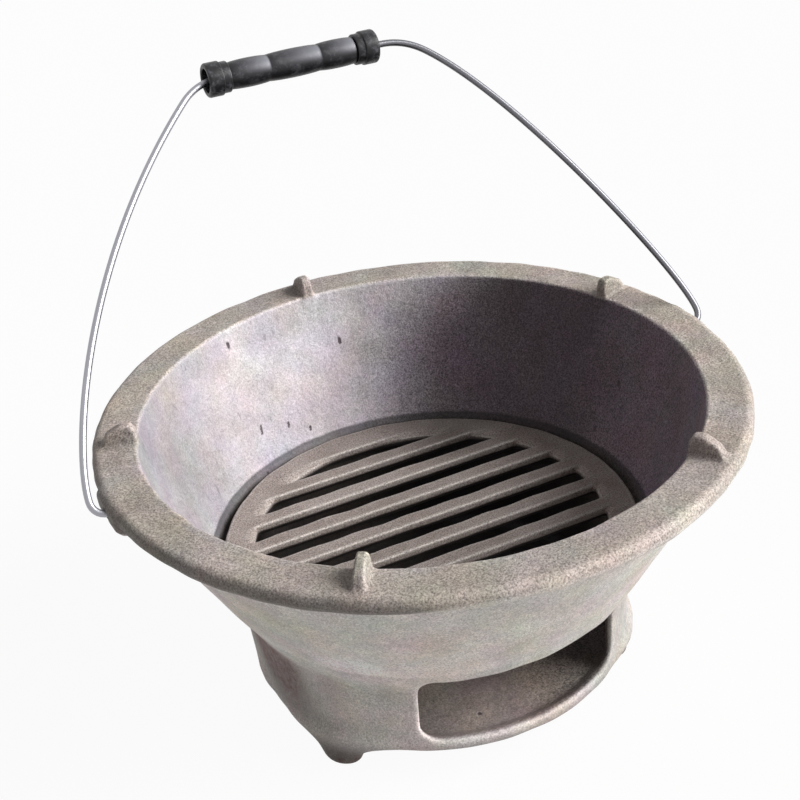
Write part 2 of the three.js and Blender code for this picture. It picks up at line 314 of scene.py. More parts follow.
@dataclass
class Skin:
    """A mesh of four-sided faces with its normals and how sharply it bends.

    One blended skin goes round a casting's lugs, ears, feet and openings, which no single grid of
    two parameters can follow, so it is the zero level of a distance field.
    """

    places: Array
    faces: Array
    normals: Array
    bend: Array

    BLOCK = 4
    BLOCK_REACH = 0.6
    SLOPE_STEP = 0.2
    LEAST_SLOPE = 0.2
    LONGEST_MOVE = 1.0
    BEND_STEP = 1.1
    RELAXES = 2

    @classmethod
    def of(cls, distance: Field, low: Sequence[float], high: Sequence[float], step: Sequence[float]) -> Skin:
        """Mesh the zero level of a distance field inside a box.

        Each cell of the grid that the level crosses gets one vertex, at the mean of the crossings
        of its edges, and each grid edge that the level crosses gets a face between its four cells.
        The vertices are then evened out and moved onto the level along its slope.

        Args:
            distance: the field, negative inside.
            low: the box's lowest corner, in millimetres.
            high: its highest corner.
            step: the grid's spacing along each axis.

        Returns:
            The skin, with its faces outwards.
        """
        low, step = np.array(low, float), np.array(step, float)
        value = cls._sampled(distance, low, np.array(high, float), step)
        inside = value < 0
        any_in, all_in = inside, inside
        for axis in range(3):
            lower = [slice(None)] * 3
            upper = [slice(None)] * 3
            lower[axis], upper[axis] = slice(None, -1), slice(1, None)
            any_in = any_in[tuple(lower)] | any_in[tuple(upper)]
            all_in = all_in[tuple(lower)] & all_in[tuple(upper)]
        crossed = any_in & ~all_in
        cells = np.argwhere(crossed)
        number = np.full(crossed.shape, -1, np.int32)
        number[crossed] = np.arange(len(cells))
        corner = [value[tuple((cells + offset).T)] for offset in CELL_CORNERS]
        total = np.zeros((len(cells), 3))
        count = np.zeros(len(cells))
        for a, b in CELL_EDGES:
            cuts = (corner[a] < 0) != (corner[b] < 0)
            share = np.where(cuts, corner[a] / np.where(cuts, corner[a] - corner[b], 1), 0)
            total += cuts[:, None] * (CELL_CORNERS[a] + share[:, None] * (CELL_CORNERS[b] - CELL_CORNERS[a]))
            count += cuts
        places = low + (cells + total / count[:, None]) * step
        faces = np.concatenate([cls._faces_across(inside, number, axis) for axis in range(3)])
        places, _ = cls._settled(distance, places)
        for _ in range(cls.RELAXES):
            places, normals = cls._settled(distance, cls._evened(places, faces))
        mean = np.mean([distance(places + offset * cls.BEND_STEP) for offset in TETRAHEDRON], axis=0)
        return cls(places, faces, normals, mean / cls.BEND_STEP)

    @classmethod
    def _sampled(cls, distance: Field, low: Array, high: Array, step: Array) -> Array:
        """Return the field on the grid, worked out only in the blocks that the level can reach."""
        side = cls.BLOCK
        blocks = np.ceil((high - low) / step / side).astype(int) + 1
        middles = np.stack(np.meshgrid(*(np.arange(n) for n in blocks), indexing="ij"), -1).reshape(-1, 3)
        rough = distance(low + (middles * side + (side - 1) / 2) * step)
        near = np.abs(rough) < cls.BLOCK_REACH * side * np.linalg.norm(step) + cls.LONGEST_MOVE
        value = np.empty((blocks[0], side, blocks[1], side, blocks[2], side), np.float32)
        value[:] = np.where(rough < 0, -side, side).reshape(blocks[0], 1, blocks[1], 1, blocks[2], 1)
        offsets = np.stack(np.meshgrid(*[np.arange(side)] * 3, indexing="ij"), -1).reshape(-1, 3)
        kept = middles[near]
        places = low + (kept[:, None] * side + offsets).reshape(-1, 3) * step
        found = distance(places).reshape(-1, side, side, side)
        value[kept[:, 0], :, kept[:, 1], :, kept[:, 2], :] = found
        return value.reshape(blocks * side)

    @staticmethod
    def _faces_across(inside: Array, number: Array, axis: int) -> Array:
        """Return the faces across the grid edges that run along one axis and change sides."""
        order = (axis, (axis + 1) % 3, (axis + 2) % 3)
        solid, cell = inside.transpose(order), number.transpose(order)
        changes = solid[:-1, 1:-1, 1:-1] != solid[1:, 1:-1, 1:-1]
        i, j, k = np.nonzero(changes)
        faces = np.stack([cell[i, j, k], cell[i, j + 1, k], cell[i, j + 1, k + 1], cell[i, j, k + 1]], -1)
        leaves = solid[i, j + 1, k + 1]
        return np.where(leaves[:, None], faces, faces[:, ::-1])

    @classmethod
    def _settled(cls, distance: Field, places: Array) -> tuple[Array, Array]:
        """Move places onto the level: each goes against the slope by its distance over the slope."""
        step = cls.SLOPE_STEP
        around = [distance(places + offset * step) for offset in TETRAHEDRON]
        slope = sum(value[:, None] * offset for value, offset in zip(around, TETRAHEDRON)) / (4 * step)
        length = np.maximum(np.linalg.norm(slope, axis=1, keepdims=True), cls.LEAST_SLOPE)
        normals = slope / length
        away = np.clip(np.mean(around, axis=0)[:, None] / length, -cls.LONGEST_MOVE, cls.LONGEST_MOVE)
        return places - away * normals, normals

    @staticmethod
    def _evened(places: Array, faces: Array) -> Array:
        """Move each vertex half way to the mean of the middles of the faces round it."""
        middles = places[faces].mean(1)
        corners = faces.ravel()
        count = np.bincount(corners, minlength=len(places))
        spread = np.repeat(middles, 4, axis=0)
        total = np.stack([np.bincount(corners, spread[:, i], len(places)) for i in range(3)], -1)
        return (places + total / count[:, None]) / 2

    def part(self, chosen: Array) -> Skin:
        """Return the skin of the chosen faces alone, with its vertices renumbered."""
        used, faces = np.unique(self.faces[chosen], return_inverse=True)
        return Skin(self.places[used], faces.reshape(-1, 4), self.normals[used], self.bend[used])


def new_mesh(
    name: str,
    places: Array,
    faces: Array,
    finish: Material,
    normals: Array | None = None,
    marks: Mapping[str, Array] | None = None,
) -> bpy.types.Object:
    """Put a surface into a new object at the origin.

    Args:
        name: the object's name.
        places: vertices in millimetres, in rows.
        faces: four vertex numbers each, in rows. A repeated number makes a face of three.
        finish: the object's material.
        normals: a shading normal for each vertex.
        marks: values for each vertex that the material reads by name.

    Returns:
        The new object, linked to the scene and shaded smooth.
    """
    mesh = bpy.data.meshes.new(name)
    doubled = faces == np.roll(faces, -1, axis=1)
    counts = 4 - doubled.sum(1)
    mesh.vertices.add(len(places))
    mesh.vertices.foreach_set("co", (places * MM).astype(np.float32).ravel())
    mesh.loops.add(int(counts.sum()))
    mesh.loops.foreach_set("vertex_index", faces[~doubled].astype(np.int32))
    mesh.polygons.add(len(faces))
    mesh.polygons.foreach_set("loop_start", np.concatenate([[0], np.cumsum(counts)[:-1]]).astype(np.int32))
    mesh.polygons.foreach_set("use_smooth", np.ones(len(faces), bool))
    mesh.update(calc_edges=True)
    for mark, values in (marks or {}).items():
        mesh.attributes.new(mark, "FLOAT", "POINT").data.foreach_set("value", values.astype(np.float32))
    if normals is not None:
        mesh.normals_split_custom_set_from_vertices(normals.astype(np.float32))
    mesh.materials.append(finish)
    made = bpy.data.objects.new(name, mesh)
    bpy.context.collection.objects.link(made)
    LOG.info("%s: %d faces", name, len(faces))
    return made


def ring_faces(rings: int, sides: int, closed: bool = False) -> Array:
    """Return the faces between rings of vertices, outwards for rings that run along their path.

    Args:
        rings: how many rings there are.
        sides: vertices in each ring.
        closed: whether the last ring joins the first.

    Returns:
        Four vertex numbers for each face, in rows.
    """
    ring = np.arange(rings if closed else rings - 1)[:, None]
    side = np.arange(sides)[None, :]
    after, beside = (ring + 1) % rings, (side + 1) % sides
    corners = [ring * sides + side, ring * sides + beside, after * sides + beside, after * sides + side]
    return np.stack(np.broadcast_arrays(*corners), -1).reshape(-1, 4)


# Finishes


@dataclass(frozen=True)
class Finish:
    """A material with the Principled shader. Each kind says where its colour comes from.

    It reads the marks that a piece gives its skin, and noises. A noise has a name, the width of its
    features in millimetres, a detail and a roughness.
    """

    name: str
    marks: tuple[str, ...] = ()
    noises: tuple[tuple[str, float, float, float], ...] = ()
    metallic: float = 0.0
    specular: float = 0.5
    bump_strength: float = 0.0
    bump_depth: float = 0.0

    def build(self) -> Material:
        """Return the material, with a bump where it has one."""
        material = bpy.data.materials.new(self.name)
        add = nodes_of(material)
        place = add("TexCoord", out="Object")
        read = {mark: add("Attribute", out="Fac", attribute_name=mark) for mark in self.marks}
        for name, width, detail, rough in self.noises:
            look = {"Vector": place, "Scale": per_mm(width), "Detail": detail, "Roughness": rough}
            read[name] = add("TexNoise", look)
        colour, roughness, height = self.surface(add, place, **read)
        sockets = {"Base Color": colour, "Roughness": roughness, "Metallic": self.metallic}
        sockets["Specular IOR Level"] = self.specular
        if self.bump_strength:
            bump = {"Height": height, "Strength": self.bump_strength, "Distance": self.bump_depth * MM}
            sockets["Normal"] = add("Bump", bump)
        add("OutputMaterial", {"Surface": add("BsdfPrincipled", sockets)})
        return material

    def surface(self, add: Adder, place: NodeSocket, **read: NodeSocket) -> Surface:
        """Add the nodes between what the finish reads and its shader.

        Args:
            add: what adds a node to the material.
            place: places in the frame, in metres.
            read: the marks and the noises, by their names.

        Returns:
            The outputs for the colour, the roughness and the bump's height.
        """
        raise NotImplementedError


@dataclass(frozen=True)
class SandCastIron(Finish):
    """Grey iron as it comes from the sand, fettled but not machined or painted.

    The sand leaves a matt skin of fine grit, whose grey wanders between olive, brown and rose, and
    edges that are rubbed lighter. Inside the bowl the skin is closer and silvery, with dark scars
    where the sand broke, and it is painted darker, as painted shade, on the side away from the light.
    The mark tone paints shade and light over the whole body.
    """

    name: str = "sand_cast_iron"
    marks: tuple[str, ...] = ("bowl", "outside", "chamber", "bowl_painted_shade", "rust", "scar", "tone", "bend")
    noises: tuple[tuple[str, float, float, float], ...] = (
        ("cloud", 30.0, 3.0, 0.6), ("grit", 0.9, 2.0, 0.7), ("lump", 3.2, 3.0, 0.55)
    )
    metallic: float = 0.12
    specular: float = 0.35
    rim: str = "#aba199"
    outside: str = "#e4dcd4"
    bowl: str = "#c6bfc3"
    # The colour of the bowl's painted shade, on its side away from the light
    bowl_painted_shade_colour: str = "#665b61"
    chamber: str = "#857a74"
    foot_rust: str = "#7a5c55"
    scar: str = "#574e52"
    grit_tone: float = 2.9
    grit_more: tuple[tuple[str, float], ...] = (("outside", -1.1), ("bowl", -1.6), ("bowl_painted_shade", 3.0), ("chamber", 0.5))
    grit_darkest: float = 0.3
    lump_relief: float = 2.2
    tint_size: float = 26.0
    tint_swing: tuple[float, float, float] = (0.27, 0.2, 0.27)
    streak_size: float = 1.6
    streak_squash: float = 0.16
    pit_spacing: float = 22.0
    pit_squash: float = 0.4
    pit_fray: float = 0.06
    pit_relief: float = 2.0
    scar_fray: float = 1.2
    bump_strength: float = 0.6
    bump_depth: float = 0.35
    rust_ends: Ends = (0.3, 0.7, 0.55, 1.0)
    blotch_ends: Ends = (0.3, 0.7, 0.9, 1.1)
    cloud_ends: Ends = (0.35, 0.65, 0.87, 1.1)
    rubbed_ends: Ends = (-0.35, 0.45, 0.7, 1.35)
    streak_ends: Ends = (0.6, 0.72, 0.0, -0.3)
    faint_ends: Ends = (0.56, 0.44, 0.0, 1.0)
    pit_ends: Ends = (0.095, 0.06, 0.0, 1.0)
    scar_ends: Ends = (0.95, 1.35, 0.0, 1.0)
    rough_ends: Ends = (0.3, 0.7, 0.58, 0.76)

    def surface(
        self, add: Adder, place: NodeSocket, cloud: NodeSocket, grit: NodeSocket, lump: NodeSocket, **marks: NodeSocket
    ) -> Surface:
        """Tone each place of the body by its marks, and break the tones up by noise, scratches and pits."""
        # The bowl darkens into its painted shade on the side away from the light
        pair = {MIX_A: linear(self.bowl), MIX_B: linear(self.bowl_painted_shade_colour)}
        hollow = add("Mix", {0: marks["bowl_painted_shade"], **pair}, **COLOUR_MIX)
        rust = add("Math", (marks["rust"], add("MapRange", (lump, *self.rust_ends))), operation="MULTIPLY")
        colour = linear(self.rim)
        for share, tone in (
            (marks["outside"], linear(self.outside)),
            (marks["bowl"], hollow),
            (marks["chamber"], linear(self.chamber)),
            (rust, linear(self.foot_rust)),
        ):
            colour = add("Mix", {0: share, MIX_A: colour, MIX_B: tone}, **COLOUR_MIX)
        # Each channel wanders by itself, which gives the olive and rosy patches of raw iron
        tint = add("TexNoise", {"Vector": place, "Scale": per_mm(self.tint_size), "Detail": 2.0}, "Color")
        least = tuple(1 - swing / 2 for swing in self.tint_swing)
        tint = add("VectorMath", (tint, self.tint_swing, least), operation="MULTIPLY_ADD")
        colour = add("VectorMath", (colour, tint), operation="MULTIPLY")
        # Grit is drawn coarser than sand grains so that it shows at the size of the picture. It is
        # strongest on the rim and in the bowl's painted shade, and weakest on the bowl's closer skin
        coarse = self.grit_tone
        for mark, more in self.grit_more:
            coarse = add("Math", (marks[mark], more, coarse), operation="MULTIPLY_ADD")
        centred = add("Math", (grit, 0.5), operation="SUBTRACT")
        speck = add("Math", (centred, coarse, 1.0), operation="MULTIPLY_ADD")
        # Faint upright scratches in the bowl, where the clouds are dark
        drawn = add("VectorMath", (place, (1.0, 1.0, self.streak_squash)), operation="MULTIPLY")
        streak = add("TexNoise", {"Vector": drawn, "Scale": per_mm(self.streak_size), "Detail": 2.0})
        faint = add("Math", (add("MapRange", (cloud, *self.faint_ends)), marks["bowl"]), operation="MULTIPLY")
        streak = add("Math", (add("MapRange", (streak, *self.streak_ends)), faint, 1.0), operation="MULTIPLY_ADD")
        shade = add("Math", (speck, self.grit_darkest), operation="MAXIMUM")
        for factor in (
            add("MapRange", (lump, *self.blotch_ends)),
            add("MapRange", (cloud, *self.cloud_ends)),
            add("MapRange", (marks["bend"], *self.rubbed_ends)),
            # Painted shade and painted light over the body
            marks["tone"],
            streak,
        ):
            shade = add("Math", (shade, factor), operation="MULTIPLY")
        colour = add("VectorMath", {0: colour, "Scale": shade}, operation="SCALE")
        # Pits are drawn upright, as the sand tears when the pattern is lifted
        tall = add("VectorMath", (place, (1.0, 1.0, self.pit_squash)), operation="MULTIPLY")
        cell = add("TexVoronoi", {"Vector": tall, "Scale": per_mm(self.pit_spacing), "Randomness": 1.0})
        pit = add("Math", (lump, self.pit_fray, cell), operation="MULTIPLY_ADD")
        pit = add("MapRange", (pit, *self.pit_ends), interpolation_type="SMOOTHSTEP")
        pit = add("Math", (pit, marks["bowl"]), operation="MULTIPLY")
        torn = add("Math", (grit, self.scar_fray, marks["scar"]), operation="MULTIPLY_ADD")
        torn = add("MapRange", (torn, *self.scar_ends), interpolation_type="SMOOTHSTEP")
        pit = add("Math", (pit, torn), operation="MAXIMUM")
        height = add("Math", (lump, self.lump_relief, grit), operation="MULTIPLY_ADD")
        height = add("Math", (pit, -self.pit_relief, height), operation="MULTIPLY_ADD")
        colour = add("Mix", {0: pit, MIX_A: colour, MIX_B: linear(self.scar)}, **COLOUR_MIX)
        return colour, add("MapRange", (grit, *self.rough_ends)), height


@dataclass(frozen=True)
class GrateIron(Finish):
    """Grey iron of the grate, as cast, rubbed pale on its upper edges.

    Painted shade darkens it deep in its slots, and a painted shadow of the bowl's wall lies across it.
    """

    name: str = "grate_iron"
    marks: tuple[str, ...] = ("bend", "deep", "painted_shadow")
    noises: tuple[tuple[str, float, float, float], ...] = (("cloud", 24.0, 3.0, 0.5), ("grit", 0.8, 2.0, 0.7))
    metallic: float = 0.2
    specular: float = 0.35
    top: str = "#a59a94"
    top_dark: str = "#92867f"
    edge: str = "#c3bbb4"
    # The colour of the painted shade deep in the slots
    hollow: str = "#231e1d"
    # How much the painted shadow of the bowl's wall darkens
    shadow_darkness: float = 0.6
    bump_strength: float = 0.7
    bump_depth: float = 0.4
    patch_ends: Ends = (0.35, 0.65, 0.0, 1.0)
    worn_ends: Ends = (0.05, 0.35, 0.0, 0.6)
    speck_ends: Ends = (0.3, 0.7, 0.4, 1.6)
    rough_ends: Ends = (0.0, 1.0, 0.66, 0.44)

    def surface(
        self, add: Adder, place: NodeSocket, cloud: NodeSocket, grit: NodeSocket, **marks: NodeSocket
    ) -> Surface:
        """Wear the edges pale where the skin bends, and darken it by painted shade where it lies deep, and by the
        painted shadow.
        """
        patch = add("MapRange", (cloud, *self.patch_ends))
        worn = add("MapRange", (marks["bend"], *self.worn_ends))
        colour = linear(self.top)
        for share, tone in ((patch, self.top_dark), (worn, self.edge), (marks["deep"], self.hollow)):
            colour = add("Mix", {0: share, MIX_A: colour, MIX_B: linear(tone)}, **COLOUR_MIX)
        # What the painted shadow of the bowl's wall leaves of the tone
        unshadowed = add("Math", (marks["painted_shadow"], -self.shadow_darkness, 1.0), operation="MULTIPLY_ADD")
        shade = add("Math", (add("MapRange", (grit, *self.speck_ends)), unshadowed), operation="MULTIPLY")
        colour = add("VectorMath", {0: colour, "Scale": shade}, operation="SCALE")
        return colour, add("MapRange", (worn, *self.rough_ends)), grit


@dataclass(frozen=True)
class DrawnSteel(Finish):
    """Bright drawn steel wire, with fine lines along its length from the die.

    Painted shade darkens the bail's right half against its left.
    """

    name: str = "drawn_steel"
    marks: tuple[str, ...] = ("along", "around")
    metallic: float = 1.0
    bright: str = "#b4b4ba"
    dull: str = "#85858c"
    line_width: float = 0.25
    line_length: float = 45.0
    # How dark the painted shade on the right half is, and where along X it starts and is full
    right_painted_shade: float = 0.45
    painted_shade_first: float = -20.0
    painted_shade_full: float = 50.0
    rough_ends: Ends = (0.3, 0.7, 0.26, 0.46)

    def surface(self, add: Adder, place: NodeSocket, along: NodeSocket, around: NodeSocket) -> Surface:
        """Draw noise out along the wire, from places along and around it in millimetres."""
        drawn = [
            add("Math", (mark, 1 / size), operation="MULTIPLY")
            for mark, size in ((along, self.line_length), (around, self.line_width))
        ]
        lines = add("TexNoise", {"Vector": add("CombineXYZ", drawn), "Scale": 1.0, "Detail": 3.0})
        colour = add("Mix", {0: lines, MIX_A: linear(self.bright), MIX_B: linear(self.dull)}, **COLOUR_MIX)
        # Painted shade darkens the wire towards its right
        ends = (self.painted_shade_first * MM, self.painted_shade_full * MM, 1.0, self.right_painted_shade)
        shade = add("MapRange", (add("SeparateXYZ", (place,)), *ends))
        colour = add("VectorMath", {0: colour, "Scale": shade}, operation="SCALE")
        return colour, add("MapRange", (lines, *self.rough_ends)), lines


@dataclass(frozen=True)
class MouldedPlastic(Finish):
    """Black injection-moulded plastic, satin from its mould, with pale scuffs on what stands proud.

    A painted highlight lightens one end of each swell to a greyer satin, and the collars are scuffed most.
    """

    name: str = "moulded_plastic"
    marks: tuple[str, ...] = ("painted_highlight", "proud")
    noises: tuple[tuple[str, float, float, float], ...] = (("grain", 0.7, 2.0, 0.5), ("scuffs", 4.5, 5.0, 0.7))
    specular: float = 0.38
    black: str = "#141417"
    scuffed: str = "#5c5c62"
    # The grey of the painted highlight
    rubbed: str = "#8e8e96"
    bump_strength: float = 0.25
    bump_depth: float = 0.12
    scuff_ends: Ends = (0.5, 0.75, 0.0, 0.7)
    rough_ends: Ends = (0.3, 0.7, 0.29, 0.48)

    def surface(
        self, add: Adder, place: NodeSocket, grain: NodeSocket, scuffs: NodeSocket, **marks: NodeSocket
    ) -> Surface:
        """Scuff the black by noise, twice as much where it is proud, and lighten it by a painted highlight."""
        worn = add("MapRange", (scuffs, *self.scuff_ends))
        worn = add("Math", (worn, marks["proud"], worn), operation="MULTIPLY_ADD")
        colour = linear(self.black)
        for share, tone in ((worn, self.scuffed), (marks["painted_highlight"], self.rubbed)):
            colour = add("Mix", {0: share, MIX_A: colour, MIX_B: linear(tone)}, **COLOUR_MIX)
        return colour, add("MapRange", (grain, *self.rough_ends)), grain


# The body


class Zone(Enum):
    """The parts of the body's skin that are made as separate pieces."""

    RIM = "rim_and_lugs"
    BOWL_INSIDE = "bowl_inside"
    BOWL_OUTSIDE = "bowl_outside"
    DRUM = "drum_and_feet"
    CHAMBER = "ash_chamber"


@dataclass(frozen=True)
class PaintedShades:
    """How much painted shade darkens the iron at each place of the body. A glow is painted light."""

    rim_side: float = 0.24
    drum: float = 0.1
    lit_flank: float = 0.2
    lit_drum: float = 0.22
    bowl_left: float = 0.38
    bowl_shade_painted_light: float = 0.8
    foot: float = 0.5
    brow: float = 0.3
    grate_crevice_shade: float = 0.7
    chamber_back: float = 0.8
    chamber_right: float = 1.0
    chamber_painted_light: float = 0.3


@dataclass
class StoveBody:
    """The main casting: bowl, rim, lugs, ears, drum, ash window, ledge and feet. Millimetres.

    The profiles of a lug and an ear are corners, each with its round: out from the rim's inner edge
    or from the ear's face, and up from the rim's top.
    """

    node: str = "stove_body"
    foot_height: float = 17.0
    rim_top: float = 159.0
    rim_radius: float = 162.0
    rim_inner: float = 139.5
    rim_root: float = 149.0
    rim_root_depth: float = 12.0
    rim_edge: float = 6.0
    bowl_foot_radius: float = 104.5
    bowl_foot_depth: float = 95.0
    outer_bulge: float = 1.2
    inner_bulge: float = 3.0
    drum_radius: float = 101.0
    drum_corner: float = 6.0
    drum_taper: float = 2.5
    chamber_radius: float = 94.5
    floor_thickness: float = 5.0
    ledge_radius: float = 97.0
    seat_radius: float = 109.4
    ledge_depth: float = 81.8
    ledge_slope: float = 12.0
    lug_count: int = 5
    lug_first: float = 90.0
    lug_thickness: float = 6.0
    lug_draft: float = 0.7
    lug_height: float = 10.0
    lug_round: float = 1.4
    lug_blend: float = 2.4
    lug_profile: Corners = (
        (-0.4, -5, 0), (17.5, -5, 0), (17.5, -0.5, 1.5), (14, 6, 3), (7, 10, 4), (1.5, 10, 2.2), (-0.4, 6, 3)
    )
    ear_face: float = 163.0
    ear_width: float = 30.0
    ear_round: float = 3.5
    ear_blend: float = 2.5
    ear_profile: Corners = ((-17, -14.5, 0), (-4, -14.5, 4), (0, -10.5, 4), (0, -3, 2), (-3, -1.5, 2), (-17, -1.5, 0))
    pivot_depth: float = 7.5
    hole_radius: float = 2.6
    hole_depth: float = 13.0
    hole_round: float = 0.5
    hole_mouth: float = 0.9
    foot_count: int = 3
    foot_first: float = 90.0
    foot_inset: float = 8.5
    foot_tip: tuple[float, float] = (6.8, 9.5)
    foot_top: tuple[float, float] = (9.5, 21.0)
    foot_top_rise: float = 4.0
    foot_tip_round: float = 3.0
    foot_top_round: float = 2.0
    foot_blend: float = 11.0
    window_width: float = 108.0
    window_shift: float = 2.0
    window_height: float = 42.0
    window_rise: float = 2.5
    window_sill: float = 3.0
    window_top_round: float = 6.0
    window_sill_round: float = 10.0
    window_blend: float = 2.6
    scars: tuple[tuple[float, float, float], ...] = ((113.5, 101.5, 1.8), (105, 97, 0.8), (99, 90.5, 0.6))
    scar_width: float = 1.9
    seat_seam: float = 1.5
    edge_seam: float = 0.2
    crest_seam: float = 1.6
    crest_slope: float = 0.45
    root_seam: float = 1.0
    drum_seam: float = 4.0
    rim_reach: tuple[float, float] = (18.0, 14.0)
    foot_reach: tuple[float, float] = (22.0, 46.0)
    window_reach: float = 14.0
    margin: float = 6.0
    grain: float = 1.15
    quick_grain: float = 1.6
    waviness: Waviness = field(default_factory=lambda: Waviness(height=0.18, shortest=14.0, longest=46.0))
    wavy_depth: float = 6.0
    painted_shades: PaintedShades = PaintedShades()

    def __post_init__(self) -> None:
        """Sample the outlines that the body's field reads."""
        top = self.rim_top
        self.sill = self.foot_height + self.floor_thickness + self.window_sill
        self.shell = Section(self._shell_corners())
        self.lug = Section([(self.rim_inner + out, top + up, size) for out, up, size in self.lug_profile])
        self.ear = Section([(self.ear_face + out, top + up, size) for out, up, size in self.ear_profile])
        left, right = (self.window_shift + side * self.window_width / 2 for side in (-1, 1))
        lintel = self.sill + self.window_height
        self.window = Section(
            [
                (left, self.sill, self.window_sill_round),
                (right, self.sill, self.window_sill_round),
                (right, lintel + self.window_rise, self.window_top_round),
                (left, lintel, self.window_top_round),
            ]
        )

    @staticmethod
    def _bulged(start: Sequence[float], end: Sequence[float], bulge: float) -> list[tuple[float, float, float]]:
        """Return corners between two ends, pushed outwards by a half sine, for an outline."""
        share = np.linspace(0, 1, 15)[1:-1]
        across = start[0] + (end[0] - start[0]) * share + bulge * np.sin(np.pi * share)
        up = start[1] + (end[1] - start[1]) * share
        return [(float(a), float(u), 0.0) for a, u in zip(across, up)]

    def _shell_corners(self) -> list[tuple[float, float, float]]:
        """Return the half section of the shell of revolution, carried past its axis."""
        top, low = self.rim_top, self.foot_height
        floor = low + self.floor_thickness
        past = -20.0
        foot = (self.bowl_foot_radius, top - self.bowl_foot_depth)
        root = (self.rim_root, top - self.rim_root_depth)
        seat = (self.seat_radius, top - self.ledge_depth)
        edge = (self.rim_inner, top)
        return [
            (past, low, 0),
            (self.drum_radius - self.drum_taper, low, 4.5),
            (self.drum_radius, foot[1] - self.drum_corner, 14.0),
            (*foot, 12.0),
            *self._bulged(foot, root, self.outer_bulge),
            (*root, 5.0),
            (self.rim_radius - 2.5, top - self.rim_edge - 3.5, 3.0),
            (self.rim_radius, top - self.rim_edge, 2.0),
            (self.rim_radius, top, 4.5),
            (*edge, 1.6),
            *self._bulged(edge, seat, self.inner_bulge),
            (*seat, 1.5),
            (self.ledge_radius, seat[1], 1.5),
            (self.chamber_radius, seat[1] - self.ledge_slope, 8.0),
            (self.chamber_radius, floor, 6.0),
            (past, floor, 0),
        ]

    def distance(self, places: Array) -> Array:
        """Return the casting's distance field: the shell with its lugs, ears and feet blended on.

        The ear holes and the window are cut last, and waviness is added all over. A feature is
        worked out only within its reach: below or above its end, and inwards of the wall.
        """
        y, z = places[:, 1], places[:, 2]
        radius = np.hypot(places[:, 0], y)
        solid = self.shell(radius, z)
        (down, inwards), (up, within) = self.rim_reach, self.foot_reach
        lintel = self.sill + self.window_height
        for near, change in (
            ((z > self.rim_top - down) & (radius > self.rim_inner - inwards), self._with_rim_features),
            ((z < self.foot_height + up) & (radius > self.drum_radius - within), self._with_feet),
            ((z < lintel + self.window_reach) & (y < -self.drum_radius / 2), self._with_window),
        ):
            chosen = np.flatnonzero(near)
            solid[chosen] = change(places[chosen], solid[chosen])
        close = np.flatnonzero(np.abs(solid) < self.wavy_depth)
        solid[close] -= self.waviness(places[close])
        return solid

    def _with_rim_features(self, places: Array, solid: Array) -> Array:
        """Blend the lugs and ears onto the rim, and drill the ears."""
        z = places[:, 2]
        out, across = folded(places, self.lug_count, self.lug_first)
        half = self.lug_thickness / 2 + self.lug_draft * (self.rim_top + self.lug_height / 2 - z) / self.lug_height
        lug = rounded_overlap(self.lug(out, z), np.abs(across) - half, self.lug_round)
        solid = smooth_union(solid, lug, self.lug_blend)
        out, across = folded(places, 2, 0.0)
        ear = rounded_overlap(self.ear(out, z), np.abs(across) - self.ear_width / 2, self.ear_round)
        solid = smooth_union(solid, ear, self.ear_blend)
        bore = np.hypot(across, z - (self.rim_top - self.pivot_depth)) - self.hole_radius
        hole = rounded_overlap(bore, self.ear_face - self.hole_depth - out, self.hole_round)
        return smooth_cut(solid, hole, self.hole_mouth)

    def _with_feet(self, places: Array, solid: Array) -> Array:
        """Blend the feet on: cones cut flat in the feet's plane, with an oval section.

        The section's half depth and half width grow evenly from the tip to where the foot ends
        inside the drum's floor.
        """
        z = places[:, 2]
        out, across = folded(places, self.foot_count, self.foot_first)
        rise = np.clip(z / (self.foot_height + self.foot_top_rise), 0, 1.2)
        deep, half = (tip + (top - tip) * rise for tip, top in zip(self.foot_tip, self.foot_top))
        cone = (np.hypot((out - self.drum_radius + self.foot_inset) / deep, across / half) - 1) * deep
        foot = rounded_overlap(cone, -z, self.foot_tip_round)
        foot = rounded_overlap(foot, z - self.foot_height - self.floor_thickness, self.foot_top_round)
        return smooth_union(solid, foot, self.foot_blend)

    def _with_window(self, places: Array, solid: Array) -> Array:
        """Cut the ash window through the drum's front wall."""
        return smooth_cut(solid, self.window(places[:, 0], places[:, 2]), self.window_blend)

    def _inward(self, places: Array) -> Array:
        """Return how far inside the middle of the wall and of the floor each place lies.

        The middle of the wall is half way between the inner and the outer wall's radii at each
        height, each a straight line with a half sine added.
        """
        z = places[:, 2]
        seat = self.rim_top - self.ledge_depth
        foot = self.rim_top - self.bowl_foot_depth
        climb = np.clip((z - seat) / self.ledge_depth, 0, 1)
        bowl = self.seat_radius + (self.rim_inner - self.seat_radius) * climb + self.inner_bulge * np.sin(np.pi * climb)
        ledge = np.interp(z, (seat - self.ledge_slope, seat), (self.chamber_radius, self.ledge_radius))
        share = np.clip((z - foot) / (self.bowl_foot_depth - self.rim_root_depth), 0, 1)
        flank = self.bowl_foot_radius + (self.rim_root - self.bowl_foot_radius) * share
        flank += self.outer_bulge * np.sin(np.pi * share)
        drum = np.interp(
            z,
            (self.foot_height, foot - self.drum_corner, foot),
            (self.drum_radius - self.drum_taper, self.drum_radius, self.bowl_foot_radius),
        )
        # The ledge's skin waves to either side of its height
        wall = (np.where(z > seat - 1, bowl, ledge) + np.where(z > foot, flank, drum)) / 2
        radius = np.hypot(places[:, 0], places[:, 1])
        return np.minimum(wall - radius, z - self.foot_height - self.floor_thickness / 2)

